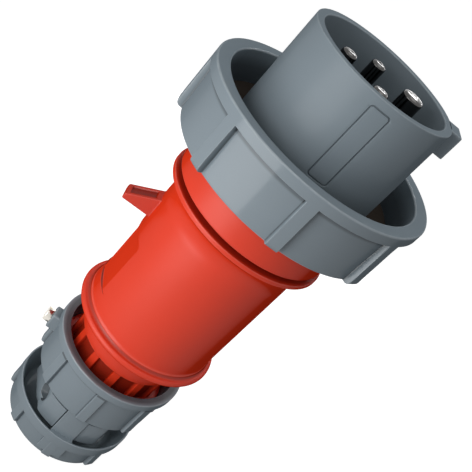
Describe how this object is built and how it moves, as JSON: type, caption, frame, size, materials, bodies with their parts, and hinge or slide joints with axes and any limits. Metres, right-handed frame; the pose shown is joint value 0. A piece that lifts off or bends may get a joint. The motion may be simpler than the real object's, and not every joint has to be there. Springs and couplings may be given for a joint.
{
  "type": "industrial pin and sleeve plug",
  "caption": "Watertight pin and sleeve plug: grey keyed sleeve with contact pins, turning bayonet ring, red handle and cable gland with clamp.",
  "frame": {"origin": "centre of the face at the cable end that the plug stands on", "axes": "+Z along the plug towards the mating face, +X through the earth pin and the key of the sleeve"},
  "size_m": [0.0794, 0.0794, 0.1745],
  "materials": {
    "grey_shell": "satin moulded polyamide",
    "red_handle": "satin moulded polyamide",
    "nickel_contact": "nickel-plated brass, polished",
    "nickel_screw": "nickel plated",
    "zinc_screw": "zinc plated",
    "rubber_seal": "matt",
    "dark_insert": "matt moulded"
  },
  "bodies": {
    "root": {"contact_shroud": "grey_shell", "earth_pin": "nickel_contact", "phase_pin_1": "nickel_contact", "phase_pin_2": "nickel_contact", "phase_pin_3": "nickel_contact", "terminal_screws": "zinc_screw", "terminal_block": "dark_insert", "block_screw": "zinc_screw", "insert_screws": "zinc_screw", "shroud_gasket": "rubber_seal", "front_collar": "red_handle", "collar_oring": "rubber_seal", "handle_housing": "red_handle", "cable_seal": "rubber_seal"},
    "bayonet_ring": {"bayonet_ring": "grey_shell"},
    "gland_nut": {"gland_nut": "grey_shell", "thrust_washer": "dark_insert"},
    "lock_screw": {"lock_screw": "nickel_screw"},
    "jaw_left": {"clamp_jaw_left": "grey_shell"},
    "jaw_right": {"clamp_jaw_right": "grey_shell", "clamp_nuts": "zinc_screw"},
    "screw_near": {"clamp_screw_near": "zinc_screw"},
    "screw_far": {"clamp_screw_far": "zinc_screw"}
  },
  "joints": [
    {"name": "bayonet_turn", "type": "hinge", "parent": "root", "child": "bayonet_ring", "pos_m": [0, 0, 0.139], "axis": [0, 0, 1], "range_deg": [0, 60]},
    {"name": "gland_turn", "type": "hinge", "parent": "root", "child": "gland_nut", "pos_m": [0, 0, 0.034], "axis": [0, 0, 1], "range_deg": [0, 330]},
    {"name": "lock_screw_turn", "type": "hinge", "parent": "gland_nut", "child": "lock_screw", "pos_m": [-0.0265, 0, 0.036], "axis": [-1, 0, 0], "range_deg": [0, 360]},
    {"name": "jaw_left_slide", "type": "slide", "parent": "gland_nut", "child": "jaw_left", "axis": [-1, 0, 0], "range_m": [0, 0.002]},
    {"name": "jaw_right_slide", "type": "slide", "parent": "gland_nut", "child": "jaw_right", "axis": [1, 0, 0], "range_m": [0, 0.002]},
    {"name": "clamp_screw_near_turn", "type": "hinge", "parent": "jaw_left", "child": "screw_near", "pos_m": [-0.009, -0.0132, 0.0178], "axis": [-1, 0, 0], "range_deg": [0, 360]},
    {"name": "clamp_screw_far_turn", "type": "hinge", "parent": "jaw_left", "child": "screw_far", "pos_m": [-0.009, 0.0132, 0.0178], "axis": [-1, 0, 0], "range_deg": [0, 360]}
  ],
  "couplings": [
    {"joint": "jaw_right_slide", "follows": "jaw_left_slide", "ratio": 1}
  ]
}
